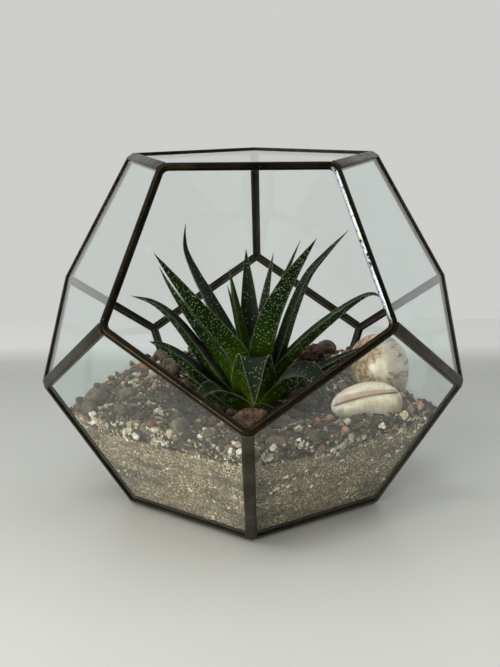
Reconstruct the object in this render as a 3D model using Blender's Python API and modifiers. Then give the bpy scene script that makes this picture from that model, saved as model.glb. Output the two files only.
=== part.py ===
"""Glass plant terrarium.

A regular dodecahedron of soldered glass stands on one of its faces.  The front upper
face is open and edged with a bent rod.  Inside lie sand, potting mix, pebbles, two
cowrie shells and a rosette plant.

Frame: metres, +Z up, origin at the centre of the base on the table, mouth towards -Y.
Azimuths are measured from -Y towards +X.
"""
import math
import random

import bmesh
import bpy
from mathutils import Euler, Matrix, Vector

MM = 0.001

# ---------------------------------------------------------------- driving dimensions
EDGE = 80 * MM              # side of every pentagon
GLASS = 2 * MM              # thickness of a pane
GAP = 0.3 * MM              # clearance between pieces that touch
FOIL = 0.6 * MM             # thickness of a seam's strips on each side of the glass
WEB = 0.7 * MM              # metal between the edges of two neighbouring panes
SEAM_OUT = 2.8 * MM         # strip's reach from a seam's line over the outside of a pane
SEAM_IN = 3.7 * MM          # the same on the inside
SEAM_FLAT = 2.2 * MM        # width of the flat on each side of a seam's outer ridge
ROD = 1.9 * MM              # radius of the mouth's rod
ROD_INSET = 0.6 * MM        # rod's centre line, inward from the mouth's sides
ROD_DEPTH = 1.2 * MM        # and below the mouth's plane
ROD_BEND = 4.8 * MM         # radius of the rod's centre line at the corners
PLANT = Vector((0, -4 * MM, 0))     # axis of the rosette

# crown: radius and height of its turned profile, from the root up
CROWN = ((3.0, 40), (6.0, 44), (6.5, 50), (5.0, 55), (2.5, 59), (0, 60))

# name, azimuth, half width, taper (high keeps its width longer), roll in degrees, and the
# midline as distance from the rosette's axis and height, in millimetres.  Inner leaves first:
# each leaf is cut clear of those before it.
LEAVES = (
    ("leaf_heart", -110, 5.4, 2.4, 0, ((0, 58), (4, 80), (8, 99), (13, 122))),
    ("leaf_heart_small", -130, 3.6, 2.2, 0, ((2, 57), (7, 78), (12, 96), (18, 112))),
    ("leaf_back", -168, 6.4, 2.4, 0, ((3, 55), (6, 80), (11, 104), (18, 130))),
    ("leaf_back_right", 150, 4.6, 2.0, 0, ((3, 55), (7, 82), (13, 105), (22, 128))),
    ("leaf_right_slim", 128, 4.4, 2.0, 0, ((4, 55), (9, 84), (16, 106), (25, 122), (32.5, 135))),
    ("leaf_front_right", 48, 9.2, 2.6, 0,
     ((3, 54), (6, 78), (11, 96), (20, 113), (31, 128), (43, 142))),
    ("leaf_front_left", -55, 8.8, 2.8, 0,
     ((3, 54), (9, 79), (17, 90), (33, 108), (45, 122), (57, 136))),
    ("leaf_back_left_tall", -125, 6.8, 2.0, 0,
     ((4, 55), (13, 80), (29, 104), (37, 115), (44, 127), (45, 135), (44, 143))),
    ("leaf_right_tall", 93, 6.4, 2.2, 14,
     ((4, 54), (13, 79), (20, 100), (28, 118), (38, 130), (50, 142))),
    ("leaf_left_dark", -82, 7.4, 2.2, 0, ((4, 53), (16, 77), (28, 94), (41, 113), (48, 125))),
    ("leaf_right_arching", 67, 7.2, 2.6, 14,
     ((4, 52), (11, 69), (27, 87), (43, 101), (57, 111), (65, 114), (71, 111))),
    ("leaf_left_arching", -78, 7.2, 2.6, -14,
     ((4, 51), (13, 61), (22, 73), (30, 85), (40, 98), (51, 107), (63, 111))),
    ("leaf_front", 2, 12.2, 2.0, 0,
     ((4, 52), (12, 68), (20, 79), (27, 83), (33, 81), (38, 74), (42, 62))),
    ("leaf_right_low", 82, 5.6, 2.6, 10, ((5, 50), (15, 60), (28, 67), (42, 75), (52, 80), (60, 84))),
    ("leaf_front_right_bent", 58, 10.5, 3.0, 16,
     ((5, 50), (14, 62), (24, 70.5), (33, 72.5), (39, 69), (43, 60))),
    ("leaf_left_low", -68, 7.8, 3.8, -14, ((5, 50), (14, 58), (27, 69), (38, 79), (48, 86), (56, 89))),
    ("leaf_left_under", -56, 5.4, 2.6, -10, ((5, 47), (15, 54), (26, 61), (37, 69), (45, 75))),
    ("leaf_front_left_low", -40, 8.4, 2.6, -10,
     ((5, 48), (13, 56), (22, 62), (31, 66), (38, 65), (43, 61))),
    ("leaf_front_low", 30, 6.5, 2.6, 0, ((5, 46), (13, 52.5), (21, 55.5), (29, 54.5), (35, 51.5))),
)

# name, place on the mix, size along x, y and z, turn about z, roughness of the form
STONES = (
    ("clay_pebble_1", (-79, -24), (12, 12, 11), 0, 0.04),
    ("clay_pebble_2", (-81, -36), (8, 8, 8), 40, 0.05),
    ("clay_pebble_3", (-64, -42), (8, 7, 8), 80, 0.05),
    ("clay_pebble_4", (-52, 34), (13, 12, 11), 20, 0.04),
    ("clay_pebble_5", (-47, 21), (11, 11, 11), 60, 0.04),
    ("clay_pebble_6", (42, 70), (13, 11, 10), 10, 0.05),
    ("clay_pebble_7", (-33, -66), (10, 10, 9), 15, 0.05),
    ("lava_stone_1", (-38, 9), (13, 11, 10), -30, 0.13),
    ("lava_stone_2", (31, 50), (19, 12, 11), 15, 0.12),
    ("lava_stone_3", (0, -50), (20, 13, 13), 5, 0.12),
    ("lava_stone_4", (24, -2), (12, 10, 10), 35, 0.10),
    ("lava_stone_5", (-16, 24), (12, 11, 9), 70, 0.12),
    ("brick_chip_1", (-59, 21), (8, 7, 8), 25, 0.14),
)

# cowrie shells: length, width and height, centre, long axis towards the broad end, and the
# way the slit faces
COWRIES = (
    ("cowrie_front", (36, 23, 19), (57, -31, 58), (1, 0.04, 0.06), (-0.1, -0.93, 0.35)),
    ("cowrie_back", (38, 30, 24), (67, 1, 67), (-0.25, 0.30, 0.92), (0.05, 0.92, -0.38)),
)
CHIPS = 90                  # small pumice and brick chips fused to the mix
CHIP_SEED = 5

# ---------------------------------------------------------------- regular dodecahedron
GOLDEN = (1 + math.sqrt(5)) / 2
FACE_RADIUS = EDGE / (2 * math.sin(math.pi / 5))        # corner radius of a face
APOTHEM = FACE_RADIUS * math.cos(math.pi / 5)
INRADIUS = EDGE / 2 * math.sqrt(2.5 + 1.1 * math.sqrt(5))
HALF_DIHEDRAL = math.acos(-1 / math.sqrt(5)) / 2
CENTRE = Vector((0, 0, INRADIUS + GAP + FOIL))     # the seams under the base stand on z = 0
TILT_Z = 1 / math.sqrt(5)                               # vertical part of a side's normal
SLOT_INSET = (GLASS + GAP) / math.tan(HALF_DIHEDRAL) + WEB / 2 / math.sin(HALF_DIHEDRAL)
PANE_INSET = SLOT_INSET + GAP

# name, azimuth, which way the face looks: -2 down, -1 lower side, 1 upper side, 2 up
MOUTH = ("mouth", 0, 1)
PANES = (
    ("pane_bottom", 0, -2),
    ("pane_top", 180, 2),
    ("pane_lower_front_left", -36, -1),
    ("pane_lower_front_right", 36, -1),
    ("pane_lower_left", -108, -1),
    ("pane_lower_right", 108, -1),
    ("pane_lower_back", 180, -1),
    ("pane_upper_left", -72, 1),
    ("pane_upper_right", 72, 1),
    ("pane_upper_back_left", -144, 1),
    ("pane_upper_back_right", 144, 1),
)


def heading(azimuth):
    """Level unit vector at an azimuth in degrees."""
    angle = math.radians(azimuth)
    return Vector((math.sin(angle), -math.cos(angle), 0))


def face_frame(face):
    """Matrix of a face: origin at its centre, Z outward, Y towards one of its corners."""
    _, azimuth, look = face
    outward = heading(azimuth)
    if abs(look) == 2:
        normal = Vector((0, 0, look / 2))
        corner = outward
    else:
        normal = outward * math.sqrt(1 - TILT_Z ** 2) + Vector((0, 0, look * TILT_Z))
        corner = Vector((0, 0, -look))
        corner = (corner - normal * corner.dot(normal)).normalized()
    side = corner.cross(normal)
    turn = Matrix((side, corner, normal)).transposed().to_4x4()
    return Matrix.Translation(CENTRE + normal * INRADIUS) @ turn


def side_direction(k):
    angle = math.radians(90 + 72 * k + 36)
    return Vector((math.cos(angle), math.sin(angle)))


def outline(insets):
    """Corners of a pentagon whose five sides are moved inward by their own insets."""
    corners = []
    for k in range(5):
        a = side_direction(k - 1)
        b = side_direction(k)
        da = APOTHEM - insets[k - 1]
        db = APOTHEM - insets[k]
        cross = a.x * b.y - a.y * b.x
        corners.append(Vector(((da * b.y - db * a.y) / cross, (a.x * db - b.x * da) / cross)))
    return corners


def insets_of(face, inset, at_mouth):
    """The same inset on every side but the one that borders the mouth, if there is one."""
    frame = face_frame(face)
    mouth_normal = face_frame(MOUTH).col[2].to_3d()
    values = [inset] * 5
    for k in range(5):
        across = frame.to_3x3() @ side_direction(k).to_3d()
        if across.dot(mouth_normal) > 0.85:
            values[k] = at_mouth
    return values


# ---------------------------------------------------------------- helpers
def clear_scene():
    for obj in list(bpy.data.objects):
        bpy.data.objects.remove(obj, do_unlink=True)


def new_collection(name):
    collection = bpy.data.collections.new(name)
    bpy.context.scene.collection.children.link(collection)
    return collection


def material(name, colour, roughness, metallic=0.0, transmission=0.0):
    made = bpy.data.materials.new(name)
    made.use_nodes = True
    made.diffuse_color = (*colour, 1)
    shader = made.node_tree.nodes["Principled BSDF"]
    shader.inputs["Base Color"].default_value = (*colour, 1)
    shader.inputs["Roughness"].default_value = roughness
    shader.inputs["Metallic"].default_value = metallic
    shader.inputs["Transmission Weight"].default_value = transmission
    return made


def add_object(name, data, collection, look=None):
    obj = bpy.data.objects.new(name, data)
    collection.objects.link(obj)
    if look:
        data.materials.append(look)
    return obj


def mesh_object(name, bm, collection, look=None):
    bmesh.ops.recalc_face_normals(bm, faces=bm.faces)
    mesh = bpy.data.meshes.new(name)
    bm.to_mesh(mesh)
    bm.free()
    return add_object(name, mesh, collection, look)


def as_cutter(obj):
    obj.hide_render = True
    obj.display_type = "WIRE"
    return obj


def curve_to_mesh(obj):
    """Replace a curve object by a mesh object of the same name, its caps welded on."""
    bpy.context.view_layer.update()
    depsgraph = bpy.context.evaluated_depsgraph_get()
    mesh = bpy.data.meshes.new_from_object(obj.evaluated_get(depsgraph))
    bm = bmesh.new()
    bm.from_mesh(mesh)
    bmesh.ops.remove_doubles(bm, verts=bm.verts, dist=0.00001)
    bmesh.ops.recalc_face_normals(bm, faces=bm.faces)
    bm.to_mesh(mesh)
    bm.free()
    name = obj.name
    collection = obj.users_collection[0]
    place = obj.matrix_world.copy()
    bpy.data.objects.remove(obj, do_unlink=True)
    made = bpy.data.objects.new(name, mesh)
    collection.objects.link(made)
    made.matrix_world = place
    return made


def is_closed(mesh):
    bm = bmesh.new()
    bm.from_mesh(mesh)
    closed = bool(bm.faces) and all(len(edge.link_faces) == 2 for edge in bm.edges)
    bm.free()
    return closed


def boolean(obj, operation, *others):
    """Boolean with each of the others in turn, applied; MANIFOLD where EXACT leaves a gap."""
    for other in others:
        before = obj.data
        for solver in ("EXACT", "MANIFOLD"):
            modifier = obj.modifiers.new(operation.lower(), "BOOLEAN")
            modifier.operation = operation
            modifier.solver = solver
            modifier.object = other
            bpy.context.view_layer.update()
            depsgraph = bpy.context.evaluated_depsgraph_get()
            mesh = bpy.data.meshes.new_from_object(obj.evaluated_get(depsgraph))
            obj.modifiers.clear()
            obj.data = mesh
            if is_closed(mesh):
                break
            obj.data = before


def remove_collection(collection):
    for obj in list(collection.objects):
        bpy.data.objects.remove(obj, do_unlink=True)
    bpy.data.collections.remove(collection)


def shade(obj, angle=40):
    obj.data.shade_smooth()
    obj.data.set_sharp_from_angle(angle=math.radians(angle))


# ---------------------------------------------------------------- glass and metal
def plate(name, face, insets, top, bottom, collection, look=None):
    """Pentagonal plate on a face, from height top to height bottom above its plane."""
    curve = bpy.data.curves.new(name, "CURVE")
    curve.dimensions = "2D"
    curve.fill_mode = "BOTH"
    curve.extrude = (top - bottom) / 2
    spline = curve.splines.new("POLY")
    corners = outline(insets)
    spline.points.add(len(corners) - 1)
    for point, corner in zip(spline.points, corners):
        point.co = (corner.x, corner.y, 0, 1)
    spline.use_cyclic_u = True
    obj = add_object(name, curve, collection, look)
    obj.matrix_world = face_frame(face) @ Matrix.Translation((0, 0, (top + bottom) / 2))
    return obj


def dodecahedron(name, offset, collection, flat=0.0):
    """Dodecahedron with its faces moved outward by offset and its edges cut flat."""
    bm = bmesh.new()
    scale = (INRADIUS + offset) / INRADIUS
    for face in (MOUTH, *PANES):
        for corner in outline([0] * 5):
            point = face_frame(face) @ corner.to_3d()
            bm.verts.new(CENTRE + (point - CENTRE) * scale)
    bmesh.ops.remove_doubles(bm, verts=bm.verts, dist=EDGE / 100)
    bmesh.ops.convex_hull(bm, input=bm.verts)
    bmesh.ops.dissolve_limit(bm, angle_limit=math.radians(5), verts=bm.verts, edges=bm.edges)
    if flat:
        bmesh.ops.bevel(bm, geom=bm.edges, offset=flat, offset_type="OFFSET", segments=1,
                        affect="EDGES", clamp_overlap=True)
    return mesh_object(name, bm, collection)


def rod_ring(name, radius, collection, look=None):
    """Closed rod round the mouth, bent at the five corners."""
    curve = bpy.data.curves.new(name, "CURVE")
    curve.dimensions = "3D"
    curve.bevel_depth = radius
    curve.bevel_resolution = 2
    spline = curve.splines.new("POLY")
    steps = 4
    points = []
    for k, corner in enumerate(outline([ROD_INSET] * 5)):
        towards = corner.normalized()
        middle = corner - towards * (ROD_BEND / math.cos(math.radians(36)))
        for step in range(steps + 1):
            angle = math.radians(90 + 72 * k - 36 + 72 * step / steps)
            points.append(middle + Vector((math.cos(angle), math.sin(angle))) * ROD_BEND)
    spline.points.add(len(points) - 1)
    for point, at in zip(spline.points, points):
        point.co = (at.x, at.y, 0, 1)
    spline.use_cyclic_u = True
    obj = add_object(name, curve, collection, look)
    obj.matrix_world = face_frame(MOUTH) @ Matrix.Translation((0, 0, -ROD_DEPTH))
    return obj


def build_panes(collection, look):
    # a pane that borders the mouth ends at the rod, level with its middle
    rod_along = (ROD_DEPTH * math.sin(2 * HALF_DIHEDRAL)
                 + ROD_INSET * math.cos(2 * HALF_DIHEDRAL))
    at_mouth = rod_along + ROD + GAP
    for face in PANES:
        insets = insets_of(face, PANE_INSET, at_mouth)
        plate(face[0], face, insets, 0, -GLASS, collection, look)


def build_solder_frame(collection, cutters, look):
    inside = GLASS + GAP + FOIL
    frame = dodecahedron("solder_frame", GAP + FOIL, collection, SEAM_FLAT)
    core = dodecahedron("core_cutter", -inside, cutters)
    boolean(frame, "DIFFERENCE", core)
    past_mouth = -6 * MM
    cuts = (
        ("outer_window", SEAM_OUT, 4 * MM, -GLASS / 2),
        ("pane_slot", SLOT_INSET, GAP, -(GLASS + GAP)),
        ("inner_window", SEAM_IN, -GLASS / 2, -GLASS - 3 * MM),
    )
    for label, inset, top, bottom in cuts:
        group = new_collection(label)
        for face in PANES:
            insets = insets_of(face, inset, past_mouth)
            curve_to_mesh(plate(label + face[0][4:], face, insets, top, bottom, group))
        boolean(frame, "DIFFERENCE", *group.objects)
        remove_collection(group)
    above_rod = plate("above_rod_cutter", MOUTH, [past_mouth] * 5, 8 * MM, -ROD_DEPTH, cutters)
    boolean(frame, "DIFFERENCE", as_cutter(curve_to_mesh(above_rod)))
    opening = plate("opening_cutter", MOUTH, [ROD_INSET] * 5, 0, -(inside + GAP), cutters)
    boolean(frame, "DIFFERENCE", as_cutter(curve_to_mesh(opening)))
    seat = rod_ring("rod_cutter", ROD + GAP, cutters)
    boolean(frame, "DIFFERENCE", as_cutter(curve_to_mesh(seat)))
    as_cutter(core)
    frame.data.materials.clear()
    frame.data.materials.append(look)
    return frame


# ---------------------------------------------------------------- fill
def bump(x, y, at_x, at_y, spread):
    """Smooth hill of height 1 round a point; all in millimetres."""
    return math.exp(-((x - at_x) ** 2 + (y - at_y) ** 2) / (2 * spread ** 2))


def ease(value, low, high):
    t = min(max((value - low) / (high - low), 0), 1)
    return t * t * (3 - 2 * t)


def sand_height(x, y):
    """Sand's top: level at the glass, hollowed in the middle for the root ball."""
    x, y = x / MM, y / MM
    away = math.hypot(x, y)
    height = 30 + 17.5 * ease(away, 22, 62)
    height += 1.0 * math.sin(0.06 * x + 1.1) - 3.0 * bump(x, y, 40, -62, 24)
    height += 2.5 * bump(x, y, 88, -30, 20)
    return height * MM


def mix_height(x, y):
    """Potting mix's top: low round the plant, raised at the glass, piled at the back left."""
    x, y = x / MM, y / MM
    away = math.hypot(x - PLANT.x / MM, y - PLANT.y / MM)
    height = 48 + 8 * ease(away, 20, 78)
    height += 8 * bump(x, y, -54, 24, 14) + 5 * bump(x, y, 34, 48, 18)
    height -= 6 * bump(x, y, 82, 38, 22)
    height += 0.7 * math.sin(0.31 * x + 0.4) * math.cos(0.27 * y + 1.0)
    height += 0.5 * math.sin(0.55 * y + 0.2 * x)
    return height * MM


def block(name, top, bottom, cells, collection, look=None):
    """Slab between two height formulas, wide enough to be trimmed by the glass."""
    bm = bmesh.new()
    bmesh.ops.create_grid(bm, x_segments=cells, y_segments=cells, size=EDGE * 1.45)
    upper = list(bm.verts)
    grown = bmesh.ops.extrude_face_region(bm, geom=list(bm.faces))["geom"]
    lower = [item for item in grown if isinstance(item, bmesh.types.BMVert)]
    for vert in upper:
        vert.co.z = top(vert.co.x, vert.co.y)
    for vert in lower:
        vert.co.z = bottom(vert.co.x, vert.co.y)
    return mesh_object(name, bm, collection, look)


def inflated(obj, distance, collection):
    """Copy of a piece grown outward by a distance, to cut its neighbours with."""
    bpy.context.view_layer.update()
    depsgraph = bpy.context.evaluated_depsgraph_get()
    mesh = bpy.data.meshes.new_from_object(obj.evaluated_get(depsgraph))
    mesh.transform(obj.matrix_world)
    bm = bmesh.new()
    bm.from_mesh(mesh)
    moves = [vert.normal * min(vert.calc_shell_factor(), 2) * distance for vert in bm.verts]
    for vert, move in zip(bm.verts, moves):
        vert.co += move
    bm.to_mesh(mesh)
    bm.free()
    return as_cutter(add_object(obj.name + "_cutter", mesh, collection))


def keep_largest(obj):
    """Drop the scraps that a cut leaves loose."""
    bm = bmesh.new()
    bm.from_mesh(obj.data)
    left = set(bm.verts)
    bodies = []
    while left:
        body = set()
        queue = [left.pop()]
        while queue:
            vert = queue.pop()
            body.add(vert)
            for edge in vert.link_edges:
                other = edge.other_vert(vert)
                if other in left:
                    left.discard(other)
                    queue.append(other)
        bodies.append(body)
    largest = max(bodies, key=len)
    scraps = [vert for body in bodies if body is not largest for vert in body]
    bmesh.ops.delete(bm, geom=scraps, context="VERTS")
    bm.to_mesh(obj.data)
    bm.free()


def build_fill(collection, cutters, sand_look, mix_look):
    """Sand and potting mix, both trimmed to the space inside the glass."""
    inside = GLASS + GAP + FOIL + GAP
    space = as_cutter(dodecahedron("inner_space", -inside, cutters))
    sand = block("sand_bed", sand_height, lambda x, y: 0, 14, collection, sand_look)
    mix = block("potting_mix", mix_height, lambda x, y: 20 * MM, 22, collection, mix_look)
    below = block("sand_cutter", lambda x, y: sand_height(x, y) + GAP, lambda x, y: 0, 14, cutters)
    boolean(mix, "DIFFERENCE", as_cutter(below))
    add_chips(mix)
    boolean(sand, "INTERSECT", space)
    boolean(mix, "INTERSECT", space)
    return mix


def add_chips(mix):
    """Small angular chips, sunk about halfway into the mix and fused with it."""
    rng = random.Random(CHIP_SEED)
    taken = [(Vector((x, y)), max(size) / 2) for _, (x, y), size, _, _ in STONES]
    taken += [(Vector(centre[:2]), size[0] / 2) for _, size, centre, _, _ in COWRIES]
    taken.append((PLANT.to_2d() / MM, 16))
    group = new_collection("chips")
    while len(group.objects) < CHIPS:
        spot = Vector((rng.uniform(-92, 92), rng.uniform(-92, 92)))
        side = rng.uniform(3.0, 6.0)
        if spot.length > 92 or any((spot - at).length < r + side / 2 + 1 for at, r in taken):
            continue
        taken.append((spot, side / 2))
        bm = bmesh.new()
        bmesh.ops.create_cube(bm, size=side * MM)
        for vert in bm.verts:
            vert.co *= rng.uniform(0.7, 1.1)
        x, y = spot * MM
        turn = Euler([rng.uniform(0, math.tau) for _ in range(3)]).to_matrix().to_4x4()
        squash = Matrix.Diagonal((1, rng.uniform(0.6, 1), rng.uniform(0.5, 0.9), 1))
        rise = Matrix.Translation((x, y, mix_height(x, y) + side * 0.15 * MM))
        bm.transform(rise @ turn @ squash)
        mesh_object("chip", bm, group)
    boolean(mix, "UNION", *group.objects)
    remove_collection(group)
    keep_largest(mix)


def build_stones(collection, grown, looks):
    """Loose pebbles and stones, each bedded a little way into the mix."""
    rng = random.Random(CHIP_SEED)
    for name, (x, y), size, turn, rough in STONES:
        bm = bmesh.new()
        bmesh.ops.create_icosphere(bm, subdivisions=2, radius=0.5)
        for vert in bm.verts:
            vert.co *= rng.uniform(1 - rough, 1 + rough)
        bm.transform(Matrix.Diagonal((*(value * MM for value in size), 1)))
        stone = mesh_object(name, bm, collection, looks[name[:4]])
        x, y = x * MM, y * MM
        stone.location = (x, y, mix_height(x, y) + size[2] * 0.3 * MM)
        stone.rotation_euler = (0, 0, math.radians(turn))
        shade(stone, 60 if rough < 0.1 else 25)
        inflated(stone, GAP, grown)


# ---------------------------------------------------------------- cowrie shells
def cowrie(name, size, centre, along, slit_way, collection, cutters, grown, look):
    """Egg-shaped shell, flatter below, with the long slit along its underside."""
    length, width, height = (value * MM for value in size)
    x_axis = Vector(along).normalized()
    z_axis = -Vector(slit_way)
    z_axis = (z_axis - x_axis * z_axis.dot(x_axis)).normalized()
    turn = Matrix((x_axis, z_axis.cross(x_axis), z_axis)).transposed().to_4x4()
    place = Matrix.Translation(Vector(centre) * MM) @ turn
    bm = bmesh.new()
    bmesh.ops.create_uvsphere(bm, u_segments=20, v_segments=12, radius=0.5)
    bm.transform(Matrix.Rotation(math.radians(90), 4, "Y"))
    for vert in bm.verts:
        x, y, z = vert.co
        fuller = 1 + 0.28 * x
        if z < 0:
            z *= 0.62
        vert.co = (x * length, y * width * fuller, z * height * 1.2 * fuller)
    shell = mesh_object(name, bm, collection, look)
    shell.matrix_world = place
    inflated(shell, GAP, grown)
    bm = bmesh.new()
    bmesh.ops.create_cube(bm, size=1)
    bmesh.ops.subdivide_edges(bm, edges=bm.edges, cuts=5, use_grid_fill=True)
    for vert in bm.verts:
        x, y, z = vert.co
        bow = 0.10 * width * (1 - 4 * x * x)
        vert.co = (x * length * 0.94, y * 1.8 * MM + bow, z * height * 0.35 - height * 0.42)
    slit = as_cutter(mesh_object(name + "_slit", bm, cutters))
    slit.matrix_world = place
    boolean(shell, "DIFFERENCE", slit)
    shade(shell, 50)


# ---------------------------------------------------------------- rosette
def smooth_path(points, steps):
    """Catmull-Rom curve through 2D points, read at even steps of its length."""
    points = [Vector(point) for point in points]
    ends = [2 * points[0] - points[1], *points, 2 * points[-1] - points[-2]]
    fine = []
    for k in range(1, len(ends) - 2):
        a, b, c, d = ends[k - 1:k + 3]
        for step in range(8):
            t = step / 8
            fine.append(0.5 * (2 * b + (c - a) * t + (2 * a - 5 * b + 4 * c - d) * t ** 2
                               + (3 * b - a - 3 * c + d) * t ** 3))
    fine.append(points[-1])
    run = [0]
    for a, b in zip(fine, fine[1:]):
        run.append(run[-1] + (b - a).length)
    found = []
    k = 0
    for step in range(steps + 1):
        want = run[-1] * step / steps
        while k < len(run) - 2 and run[k + 1] < want:
            k += 1
        share = (want - run[k]) / (run[k + 1] - run[k])
        found.append(fine[k].lerp(fine[k + 1], min(share, 1)))
    return found


def leaf_profile(collection):
    """Section of a leaf for a half width of 1 mm: hollowed above, keeled below."""
    curve = bpy.data.curves.new("leaf_profile", "CURVE")
    curve.dimensions = "2D"
    curve.fill_mode = "NONE"
    half = ((0, -0.10), (0.5, -0.04), (1, 0.10), (0.66, -0.34), (0, -0.80))
    section = list(half) + [(-x, y) for x, y in half[3:0:-1]]
    spline = curve.splines.new("POLY")
    spline.points.add(len(section) - 1)
    for point, (x, y) in zip(spline.points, section):
        point.co = (x * MM, y * MM, 0, 1)
    spline.use_cyclic_u = True
    return as_cutter(add_object("leaf_profile", curve, collection))


def leaf(name, azimuth, half_width, taper, roll, midline, profile, collection, look):
    steps = 10
    path = smooth_path(midline, steps)
    curve = bpy.data.curves.new(name, "CURVE")
    curve.dimensions = "3D"
    curve.twist_mode = "Z_UP"
    curve.bevel_mode = "OBJECT"
    curve.bevel_object = profile
    curve.use_fill_caps = True
    spline = curve.splines.new("POLY")
    spline.points.add(steps)
    for k, (point, at) in enumerate(zip(spline.points, path)):
        t = k / steps
        spot = (PLANT + heading(azimuth) * at.x * MM) + Vector((0, 0, at.y * MM))
        point.co = (*spot, 1)
        point.radius = half_width * max((0.8 + 0.2 * ease(t, 0, 0.3)) * (1 - t ** taper), 0.12)
        point.tilt = math.radians(roll)
    return curve_to_mesh(add_object(name, curve, collection, look))


def build_crown(collection, look):
    """Short stem of the rosette, turned from half its outline."""
    mesh = bpy.data.meshes.new("crown")
    crown = add_object("crown", mesh, collection, look)
    bm = bmesh.new()
    outer = [bm.verts.new((radius * MM, 0, z * MM)) for radius, z in reversed(CROWN)]
    outer.append(bm.verts.new((0, 0, CROWN[0][1] * MM)))
    for a, b in zip(outer, outer[1:]):
        bm.edges.new((a, b))
    bm.to_mesh(mesh)
    bm.free()
    crown.location = PLANT
    turned = crown.modifiers.new("turned", "SCREW")
    turned.steps = 12
    turned.render_steps = 12
    turned.use_merge_vertices = True
    turned.merge_threshold = 0.00001
    return crown


def build_plant(collection, cutters, grown, look):
    """Crown and leaves; each leaf is cut clear of the crown and of the leaves inside it."""
    profile = leaf_profile(cutters)
    ahead = [inflated(build_crown(collection, look), GAP, grown)]
    for row in LEAVES:
        blade = leaf(*row, profile, collection, look)
        whole = inflated(blade, GAP, grown)
        boolean(blade, "DIFFERENCE", *ahead)
        keep_largest(blade)
        shade(blade, 35)
        ahead.append(whole)


def main():
    clear_scene()
    parts = new_collection("glass_plant_terrarium")
    cutters = new_collection("cutters")
    glass = material("clear_glass", (0.80, 0.86, 0.84), 0.03, transmission=1.0)
    solder = material("dark_bronze_solder", (0.055, 0.045, 0.034), 0.42, metallic=1.0)
    rod = material("aged_bronze_rod", (0.115, 0.085, 0.055), 0.35, metallic=1.0)
    sand_look = material("fine_grit", (0.26, 0.22, 0.17), 0.95)
    mix_look = material("dark_potting_mix", (0.045, 0.043, 0.042), 0.95)
    looks = {
        "clay": material("fired_clay", (0.16, 0.10, 0.07), 0.9),
        "lava": material("red_lava", (0.12, 0.05, 0.035), 0.95),
        "bric": material("orange_brick", (0.42, 0.14, 0.06), 0.9),
    }
    shell_look = material("cowrie_enamel", (0.66, 0.56, 0.44), 0.25)
    leaf_look = material("deep_green_leaf", (0.035, 0.10, 0.022), 0.45)
    build_panes(parts, glass)
    build_solder_frame(parts, cutters, solder)
    shade(curve_to_mesh(rod_ring("mouth_rim", ROD, parts, rod)))
    mix = build_fill(parts, cutters, sand_look, mix_look)
    grown = new_collection("seats_in_the_mix")
    build_plant(parts, cutters, grown, leaf_look)
    build_stones(parts, grown, looks)
    for shell in COWRIES:
        cowrie(*shell, parts, cutters, grown, shell_look)
    boolean(mix, "DIFFERENCE", *grown.objects)
    keep_largest(mix)
    remove_collection(grown)


main()
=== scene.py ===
# %% [markdown]
# # A planted glass terrarium
# Eleven pentagons of glass and one open one make a dodecahedron, soldered along its edges.
# Inside are sand, a gritty potting mix, two cowrie shells and a rosette of pointed leaves.
# The exact solids come first, as a fixed frame. Everything below either gives one of them
# a finish or puts a finer piece in its place.

# %% Load the frame
import math
import random

import bpy
import numpy as np
from mathutils import Matrix, Vector, noise
from mathutils.bvhtree import BVHTree


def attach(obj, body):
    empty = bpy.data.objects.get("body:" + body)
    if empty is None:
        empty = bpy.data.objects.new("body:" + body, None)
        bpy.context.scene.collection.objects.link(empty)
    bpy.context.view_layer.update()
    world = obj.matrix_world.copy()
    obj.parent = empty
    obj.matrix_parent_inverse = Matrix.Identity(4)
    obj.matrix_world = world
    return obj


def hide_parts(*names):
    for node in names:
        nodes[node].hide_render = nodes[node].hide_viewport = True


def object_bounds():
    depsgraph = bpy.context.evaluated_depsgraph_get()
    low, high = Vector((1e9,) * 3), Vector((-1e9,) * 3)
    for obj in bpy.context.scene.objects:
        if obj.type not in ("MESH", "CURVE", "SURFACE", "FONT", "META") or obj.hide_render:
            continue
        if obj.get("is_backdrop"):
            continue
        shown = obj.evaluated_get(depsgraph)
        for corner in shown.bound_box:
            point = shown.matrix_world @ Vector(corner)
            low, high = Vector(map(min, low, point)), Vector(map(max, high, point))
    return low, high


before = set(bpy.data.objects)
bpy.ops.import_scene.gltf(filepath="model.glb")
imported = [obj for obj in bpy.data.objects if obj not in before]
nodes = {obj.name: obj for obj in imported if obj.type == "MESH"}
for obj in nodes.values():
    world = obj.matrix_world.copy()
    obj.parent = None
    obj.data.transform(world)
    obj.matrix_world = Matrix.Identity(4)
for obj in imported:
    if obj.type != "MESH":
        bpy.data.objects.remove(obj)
cad_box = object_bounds()
MM = 0.001
BODY = "root"
print("nodes:", len(nodes), "box:", cad_box)

# %% [markdown]
# The regular dodecahedron has one driving size, its edge. Every face lies at the same
# distance from the centre, so one matrix per face puts flat work in its place.

# %% The dodecahedron's measures
EDGE = 80 * MM
FOOT = 0.9 * MM  # the seams hold the base pane this far off the table
FACE_RADIUS = EDGE / (2 * math.sin(math.pi / 5))
APOTHEM = FACE_RADIUS * math.cos(math.pi / 5)
INRADIUS = EDGE / 2 * math.sqrt(2.5 + 1.1 * math.sqrt(5))
CENTRE = Vector((0, 0, INRADIUS + FOOT))
TILT_Z = 1 / math.sqrt(5)  # how far a side face's outward direction points up
UP = Vector((0, 0, 1))


def heading(azimuth):
    """Level direction at an azimuth in degrees, counted from the front towards the right."""
    angle = math.radians(azimuth)
    return Vector((math.sin(angle), -math.cos(angle), 0))


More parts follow.
